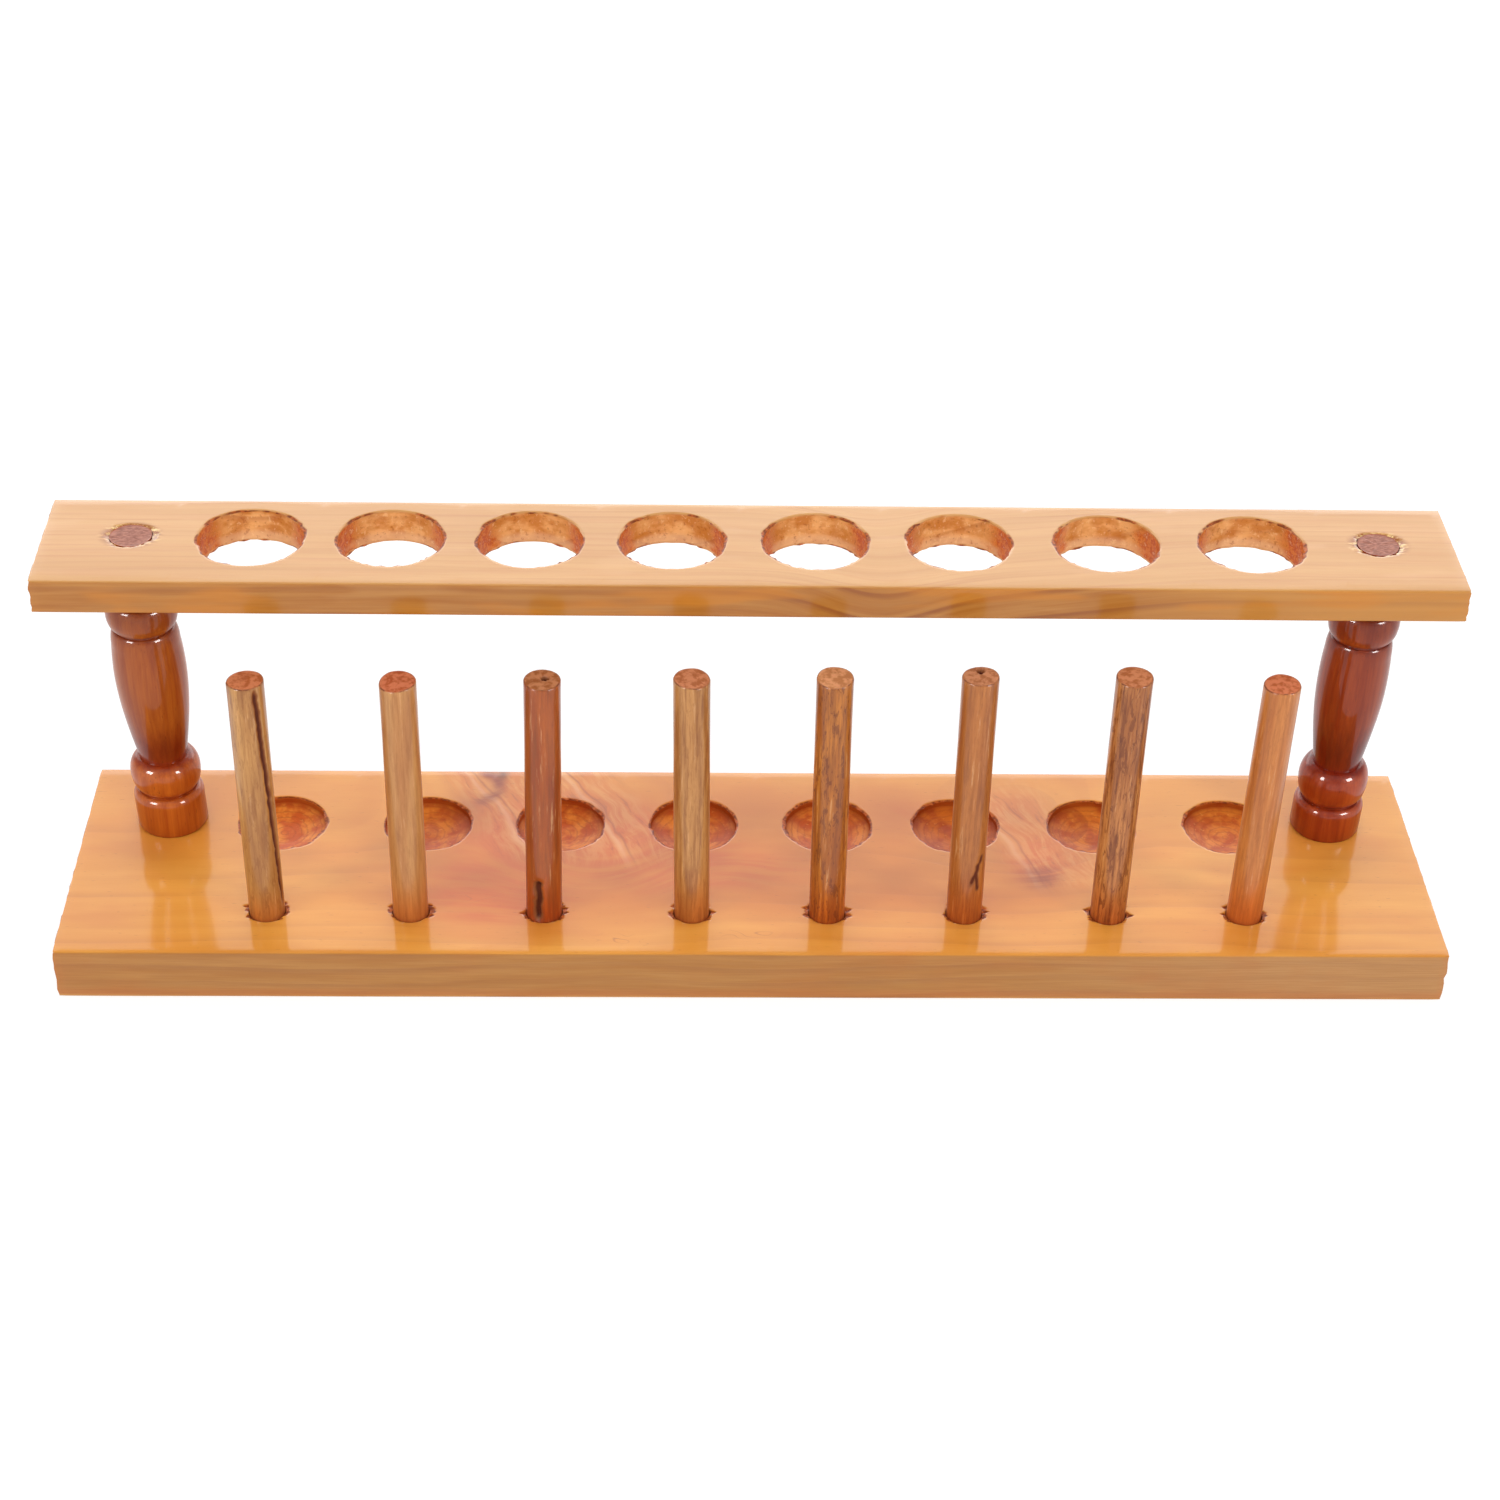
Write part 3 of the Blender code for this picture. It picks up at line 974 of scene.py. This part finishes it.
def grain_bump(n, board):
    """Raised fibres, and growth lines that lie a little lower."""
    return n.bump(n.plus(n.times(board.fibres, 0.5), n.times(board.lines, -0.5)), 0.03)


def base_depth(n):
    """The base board was sawn with its rings' centre below it."""
    y = n.plus(n.y, n.times(sway(n, 95, 26, 20, 3), 6.0), -28.0)
    z = n.plus(n.z, n.times(sway(n, 60, 60, 40, 12), 6.0), 62.0)
    depth = n.math("SQRT", n.plus(n.times(y, y), n.times(z, z)))
    for x, y, wide, deep, swell in (
        (-56, 38, 17, 26, 12),
        (-30, 10, 15, 22, -8),
        (-14, -4, 22, 12, 4),
        (56, 12, 14, 17, -8),
    ):
        depth = n.plus(depth, n.times(n.spot(x, y, wide, deep), swell))
    return depth


# The base board's flames: the curve each follows (X at Y = 0, slope, bend), how far it reaches across
# and along, its seed and where its pale veins lie
FLAMES = (
    ((-27.0, -0.26, -0.007), (-25, 9), (0, 38), 5.0, (-20, 0)),
    ((61.0, -0.41, 0.0), (-6, 9), (-8, 25), 8.0, (-5,)),
)
# The reddish patches beside them: X, Y, half width, half depth and how strong
BLUSHES = (
    (-53, 4, 14, 18, 0.8),
    (-24, 6, 13, 14, 1.0),
    (-6, -3, 22, 9, 0.8),
    (59, -1, 7, 9, 0.8),
    (34, 14, 12, 12, 0.5),
    (-54, -14, 15, 9, 0.9),
)


def knot_figure(n, colour, board):
    """The flames, the dark hook round the dead knot and small whirls near the front."""
    for curve, across_limits, along_limits, seed, pale_veins in FLAMES:
        strong, streaks, across = flame(n, curve, across_limits, along_limits, seed)
        fan = n.layers(
            n.blend(streaks, 0.38, 0.56, (216, 148, 84), (198, 98, 40)),
            (streaks, 0.56, 0.66, 1.0, (150, 60, 34)),
        )
        colour = n.layers(colour, (strong, 0.5, fan))
        for place in pale_veins:
            colour = n.layers(
                colour,
                (n.times(strong, vein(n, across, place, 0.8)), 0.4, (226, 178, 136)),
                (n.times(strong, vein(n, across, place + 1.7, 0.35)), 0.45, (140, 62, 36)),
            )
    smudges = n.plus(n.times(n.spot(-60, 18, 3, 6), 0.5), n.spot(60, -6, 4, 4))
    plum = n.plus(smudges, n.times(hook(n, -58.6, 25, 4.8), 1.3))
    whirls = n.plus(n.spot(-28, -26, 3.5, 1.3), n.spot(-1, -24.5, 4.5, 1.3), n.spot(-57, -13, 4, 1.6))
    wander = n.patches(1 / 9, 1 / 5, 1 / 5, 1.0)
    contour = n.range(n.math("ABSOLUTE", n.math("SINE", n.times(wander, 34.0))), 0.35, 0.0)
    return n.layers(
        colour,
        (n.times(plum, n.range(board.streaks, 0.3, 0.6, 0.3)), 0.7, (132, 46, 26)),
        (n.spot(-53.3, 29.5, 1.2, 1.8), 0.8, (88, 28, 20)),
        (n.times(whirls, contour), 0.6, (160, 88, 40)),
    )


def base_side_colours(n, board, blotches):
    return n.layers(
        n.blend(board.streaks, 0.2, 0.8, (160, 102, 38), (174, 120, 58)),
        (board.late, 0.12, (124, 70, 32)),
        (board.lines, 0.22, (130, 74, 34)),
        (n.x, 40, 110, 0.6, (180, 132, 82)),
        (blotches, 0.45, 0.7, 0.4, (172, 98, 34)),
        (n.z, 3.2, 0.8, 0.5, (180, 98, 32)),
        (board.fibres, 0.35, 0.7, 0.25, (134, 80, 34)),
    )


def base_wood():
    """Orange varnished wood, flamed and blushed beside a knot, darker across the middle of its top partly
    from painted shade, and bare underneath.
    """
    n = Wood("base_board_wood")
    board = Board(n, base_depth(n), 2.7, 3.0)
    blotches = n.patches(1 / 34, 1 / 15, 1 / 15, 3.0, 0.6)
    # Darker, more orange wood across the middle of the top, among the pegs and under the rail, and lighter
    # towards its edges and ends: partly painted shade, partly the wood's own tone
    middle = n.times(
        n.range(n.y, -26, -12), n.range(n.y, 34, 16), n.range(n.x, -92, -64), n.range(n.x, 78, 52)
    )
    blush = n.plus(*(n.times(n.spot(*place), share) for *place, share in BLUSHES))
    colour = n.layers(
        n.blend(board.bands, 0.3, 0.7, (211, 138, 50), (225, 158, 68)),
        (blotches, 0.42, 0.72, 0.45, (206, 124, 50)),
        (n.times(middle, n.range(blotches, 0.2, 0.6, 0.5, 1.0)), 0.7, (188, 104, 22)),
        (board.lines, 0.17, (164, 88, 38)),
        (n.times(n.range(blush, 0.05, 0.9), n.range(board.streaks, 0.34, 0.62, 0.35)), 0.7, (192, 84, 28)),
    )
    under = n.range(n.z, 0.9, 0.3)
    rough_sawn = n.layers(
        n.blend(board.streaks, 0.3, 0.7, (178, 118, 58), (202, 148, 84)),
        (board.lines, 0.5, (146, 86, 42)),
        (board.fibres, 0.3, 0.7, 0.3, (150, 92, 46)),
    )
    colour = n.layers(
        knot_figure(n, colour, board),
        (board.fibres, 0.3, 0.75, 0.14, (196, 108, 36)),
        (board.pores, 0.3, (140, 74, 36)),
        (n.mask("side"), 0.95, base_side_colours(n, board, blotches)),
        (n.mask("end"), 0.5, (186, 104, 44)),
        (under, 1.0, rough_sawn),
    )
    colour = drilled_colours(n, colour, board, BELOW_ALL_BORES)
    rough = n.plus(0.42, n.times(n.mask("bore"), 0.25), n.times(board.bands, 0.1))
    unvarnished = n.math("MAXIMUM", n.mask("tear"), under)
    bare = n.math("MAXIMUM", n.times(n.mask("well"), 0.88), unvarnished)
    return n.varnish(colour, rough, grain_bump(n, board), 0.68, 0.09, 0.008, bare)


def rail_depth(n):
    """The rail's front face shows one ring dipping in a bowl right of the middle, and another that
    climbs from its lower edge to the right end."""
    bowl = n.times(n.spot(24, 0, 15, 400), 6.5)
    climb = n.times(n.range(n.x, 44, 92), -4.4)
    height = n.plus(n.z, -RAIL_BOTTOM, n.times(n.plus(n.y, 4.0), 0.9))
    return n.plus(height, bowl, climb, n.times(sway(n, 70, 16, 14, 5), 2.2), 5.4)


def rail_side_colours(n, board, fine):
    """The growth rings are bolder on the right half."""
    blotch = n.patches(1 / 30, 1 / 12, 1 / 5, 2.0)
    return n.layers(
        n.blend(fine.streaks, 0.3, 0.7, (159, 95, 28), (174, 115, 48)),
        (board.late, n.range(n.x, -25, 12, 0.25, 0.7), (130, 64, 20)),
        (n.x, 60, 105, 0.6, (192, 132, 56)),
        (fine.lines, 0.12, (134, 72, 28)),
        (blotch, 0.52, 0.68, 0.55, (196, 118, 14)),
        (blotch, 0.42, 0.3, 0.3, (190, 138, 78)),
    )


def rail_wood():
    """Paler wood than the base board's, with chips round the posts' tenons."""
    n = Wood("top_rail_wood")
    board = Board(n, rail_depth(n), 6.0, 11.0, late_from=0.7)
    fine = Board(n, n.plus(rail_depth(n), n.times(sway(n, 60, 9, 9, 2), 3.0)), 1.9, 6.0)
    # Pale milky patches on the top: partly the varnish's own cloudiness, partly a painted reflection of the
    # bright studio
    milky_haze_and_sheen = n.patches(1 / 22, 1 / 7, 1 / 7, 2.5)
    colour = n.layers(
        n.blend(board.bands, 0.25, 0.75, (200, 145, 80), (211, 158, 95)),
        (fine.streaks, 0.42, 0.7, 0.25, (196, 124, 68)),
        (fine.lines, 0.25, (176, 104, 54)),
        (board.late, 0.12, (174, 102, 56)),
        (milky_haze_and_sheen, 0.58, 0.75, 0.3, (220, 170, 118)),
        (board.fibres, 0.3, 0.75, 0.15, (190, 120, 64)),
        (board.pores, 0.2, (160, 98, 56)),
        (n.mask("side"), 0.95, rail_side_colours(n, board, fine)),
        (n.mask("end"), 0.4, (190, 120, 56)),
    )
    colour = drilled_colours(n, colour, board, RAIL_BOTTOM)
    splinters = n.patches(1 / 2.2, 1 / 0.8, 1.0, 3.0, 0.6)
    for name, (_, top_shift) in POST_SHIFTS.items():
        x, y, _ = node_middle(name)
        on_top = n.range(n.z, RAIL_BOTTOM + 6.0, RAIL_BOTTOM + 7.0)
        beside = n.range(n.times(n.spot(x + top_shift, y, 5.2, 4.2), on_top), 0.16, 0.4)
        colour = n.layers(
            colour,
            (n.times(beside, n.range(splinters, 0.46, 0.52)), 0.85, (158, 92, 44)),
            (n.times(beside, n.range(splinters, 0.42, 0.36)), 0.85, (242, 206, 140)),
        )
    rough = n.plus(0.45, n.times(n.mask("bore"), 0.25), n.times(board.bands, 0.1))
    bare = n.math("MAXIMUM", n.times(n.mask("bore"), 0.7), n.mask("tear"))
    return n.varnish(colour, rough, grain_bump(n, board), 0.75, 0.15, 0.006, bare)


# Each post's dark and light colours, and its grain's seed
POST_WOODS = {
    "left_post": ((166, 74, 16), (190, 98, 26), 2.0),
    "right_post": ((142, 46, 10), (172, 70, 18), 7.0),
}


def post_wood(name, dark, light, seed):
    """Reddish hardwood turned along its grain, darker where the stain lies in the grooves."""
    n = Wood(name)
    fibres = n.upright(2.6, 9, seed, 3.0, 0.65)
    fine = n.blend(fibres, 0.35, 0.7, (212, 186, 170), (255, 255, 255))
    colour = n.blend(n.upright(0.5, 30, seed, 3.0, 0.55), 0.3, 0.72, dark, light)
    colour = n.mix(0.4, colour, fine, "MULTIPLY")
    body_foot = n.range(n.z, BASE_TOP + 15, BASE_TOP + 21)
    body = n.times(body_foot, n.range(n.z, BASE_TOP + 62, BASE_TOP + 50))
    specks = n.range(n.upright(3.4, 2.2, seed, 1.0), 0.68, 0.78)
    colour = n.layers(colour, (body, 1.0, n.tint(colour, (222, 224, 224))), (specks, 0.4, (70, 22, 8)))
    pith = n.patches(0.9, 2.4, 0.1, 3.0, 0.6)
    colour = n.layers(
        colour,
        (n.mask("tear"), 1.0, n.tint(colour, (204, 150, 138))),
        (n.mask("end"), 1.0, n.blend(pith, 0.35, 0.65, (138, 83, 67), (180, 119, 99))),
    )
    return n.varnish(colour, 0.4, n.bump(fibres, 0.015), 0.55, 0.05, 0.02, n.mask("end"))


def peg_wood(number, pale, dark, contrast, speckle, varnish_height, sawn):
    """A dowel: fibres along Z, thin varnish above, thicker, more orange varnish at the foot, and painted
    shade where it meets the board.
    """
    n = Wood(f"peg_{number}_wood")
    seed = 3.1 * number
    broad = n.upright(0.4, 30, seed, 2.0, 0.55)
    grain = n.upright(1.5, 11, seed, 4.0, 0.65)
    pores = n.upright(3.8, 2.4, seed, 2.0, 0.6)
    blots = n.upright(0.9, 5, seed + 3, 4.0, 0.7, 0.6)
    colour = n.layers(
        n.blend(broad, 0.32, 0.68, pale, dark),
        (grain, 0.44, 0.64, contrast, (122, 62, 24)),
        (grain, 0.42, 0.28, 0.45, (216, 164, 110)),
        (pores, 0.60, 0.72, speckle, (84, 38, 16)),
        (blots, 0.53, 0.61, speckle, (112, 54, 20)),
    )
    soak = n.range(n.plus(n.z, n.times(broad, 9.0)), BASE_TOP + varnish_height + 6, BASE_TOP + 3)
    saw = n.patches(0.7, 0.7, 0.7, 2.0, 0.6)
    sawn_dark = n.tint(srgb(*sawn), (220, 212, 203))
    sawn_pale = n.mix(0.12, srgb(*sawn), srgb(244, 196, 156))
    end, crack = n.mask("end"), n.mask("crack")
    burnt = n.times(n.range(end, 0.15, 0.5), n.range(end, 1.0, 0.7), n.range(saw, 0.4, 0.6))
    colour = n.layers(
        colour,
        (soak, 0.75, n.tint(colour, (255, 190, 118))),
        # Painted shade where the peg meets the board: darker from just above the board's top down into its
        # socket
        (n.z, BASE_TOP + 0.9, BASE_TOP - 0.2, 0.4, (150, 66, 26)),
        (end, 0.3, 0.9, 1.0, n.mix(n.range(saw, 0.35, 0.6), sawn_dark, sawn_pale)),
        (burnt, 0.8, (104, 46, 24)),
        # The cracks and the pith hole: brown at their edges and a dark core, which is partly the split
        # wood's own colour and partly painted shade inside the split
        (crack, 0.05, 0.4, 1.0, (132, 74, 38)),
        (crack, 0.4, 0.8, 0.85, (80, 30, 18)),
    )
    normal = n.bump(n.plus(n.times(grain, 0.7), n.times(pores, 0.3)), 0.06)
    rough = n.plus(0.45, n.times(grain, 0.15))
    bare = n.math("MAXIMUM", end, n.range(crack, 0.1, 0.4))
    return n.varnish(colour, rough, normal, 0.7, 0.2, 0.012, bare)


# Each peg's wood: pale and dark colours, how strong its grain and its specks are, how high the
# thick varnish reaches, and the sawn top's colour
PEG_WOODS = (
    ((192, 138, 75), (162, 107, 54), 0.35, 0.30, 9, (194, 103, 55)),
    ((192, 136, 78), (174, 114, 62), 0.25, 0.10, 12, (198, 98, 56)),
    ((166, 82, 26), (138, 58, 14), 0.50, 0.15, 13, (176, 103, 57)),
    ((184, 128, 70), (160, 104, 50), 0.50, 0.20, 13, (195, 115, 72)),
    ((186, 112, 38), (152, 80, 24), 0.60, 0.75, 13, (210, 139, 90)),
    ((176, 106, 48), (156, 86, 32), 0.45, 0.20, 14, (190, 118, 76)),
    ((188, 120, 62), (158, 92, 42), 0.85, 0.75, 10, (193, 113, 68)),
    ((194, 120, 58), (178, 102, 44), 0.30, 0.15, 15, (204, 107, 65)),
)


# ---- Studio ----


def make_camera():
    data = bpy.data.cameras.new("camera")
    data.lens = CAMERA_LENS
    data.sensor_width = SENSOR
    data.clip_start = 0.01
    camera = put_in("camera", data)
    turn = (
        Matrix.Rotation(radians(CAMERA_YAW), 4, "Z")
        @ Matrix.Rotation(radians(CAMERA_PITCH), 4, "X")
        @ Matrix.Rotation(radians(CAMERA_ROLL), 4, "Z")
    )
    camera.matrix_world = Matrix.Translation(CAMERA_PLACE) @ turn
    bpy.context.scene.camera = camera


def soft_box(name, place, size, radiance, lights=True, shines=True, only_on=()):
    """An even rectangle of light, turned to the rack, which the camera doesn't see. It lights the
    rack, shines in the varnish, or does both, and may reach some pieces only."""
    data = bpy.data.lights.new(name, "AREA")
    data.shape = "RECTANGLE"
    data.size, data.size_y = size
    data.energy = radiance * pi * size[0] * size[1]
    light = put_in(name, data)
    light.location = place
    light.rotation_euler = (Vector(RACK_MIDDLE) - Vector(place)).to_track_quat("-Z", "Y").to_euler()
    light.visible_camera = False
    light.visible_diffuse = lights
    light.visible_glossy = shines
    if only_on:
        reached = bpy.data.collections.new(f"{name}_reaches")
        for piece in only_on:
            reached.objects.link(piece)
        light.light_linking.receiver_collection = reached


def make_floor():
    mesh = bpy.data.meshes.new("floor")
    form = bmesh.new()
    bmesh.ops.create_grid(form, x_segments=1, y_segments=1, size=FLOOR_REACH)
    form.to_mesh(mesh)
    form.free()
    floor = put_in("floor", mesh)
    floor.location.z = -FLOOR_DROP
    n = Nodes(bpy.data.materials.new("floor_white"))
    values = {
        "Base Color": (FLOOR_GREY, FLOOR_GREY, FLOOR_GREY, 1.0),
        "Roughness": 1.0,
        "Specular IOR Level": 0.0,
        "Emission Color": (1.0, 1.0, 1.0, 1.0),
        "Emission Strength": FLOOR_GLOW,
    }
    n.feed_all(n.tree.nodes["Principled BSDF"], values)
    mesh.materials.append(n.owner)


def make_world():
    """White at the horizon, and softer overhead."""
    n = Nodes(bpy.data.worlds.new("studio"))
    _, _, height = n.split(n.add("ShaderNodeTexCoord").outputs["Generated"])
    values = {"Color": (1.0, 1.0, 1.0, 1.0), "Strength": n.range(height, *WORLD_FADE)}
    n.feed_all(n.tree.nodes["Background"], values)
    bpy.context.scene.world = n.owner


def make_studio(turned):
    """The shine boxes reach only the turned pieces, so that no flat board mirrors them."""
    make_floor()
    make_world()
    for side, name in ((-1, "left"), (1, "right")):
        place = (0.9 * side, -0.7, 0.75)
        soft_box(f"{name}_box", place, (0.25, 0.32), 15.0, shines=False)
        shine_place = (0.9 * side, -0.75, 0.55)
        soft_box(f"{name}_shine", shine_place, (0.4, 0.4), 34.0, lights=False, only_on=turned)
    soft_box("front_box", (0.0, -0.75, 1.05), (0.9, 0.5), 4.0, shines=False)
    soft_box("back_box", (0.0, 1.4, 0.8), (3.0, 1.1), 1.7)
    soft_box("low_back_box", (0.0, 1.2, 0.4), (3.0, 0.6), 1.4)
    bpy.context.scene.view_settings.view_transform = "Standard"


# ---- The scene ----

make_camera()
make_base_board(base_wood())
make_top_rail(rail_wood())
turned_pieces = [
    make_post(name, post_wood(f"{name}_wood", *wood)) for name, wood in POST_WOODS.items()
]
for number, (form, wood) in enumerate(zip(PEG_FORMS, PEG_WOODS), start=1):
    turned_pieces.append(make_peg(number, form, peg_wood(number, *wood)))
make_studio(turned_pieces)
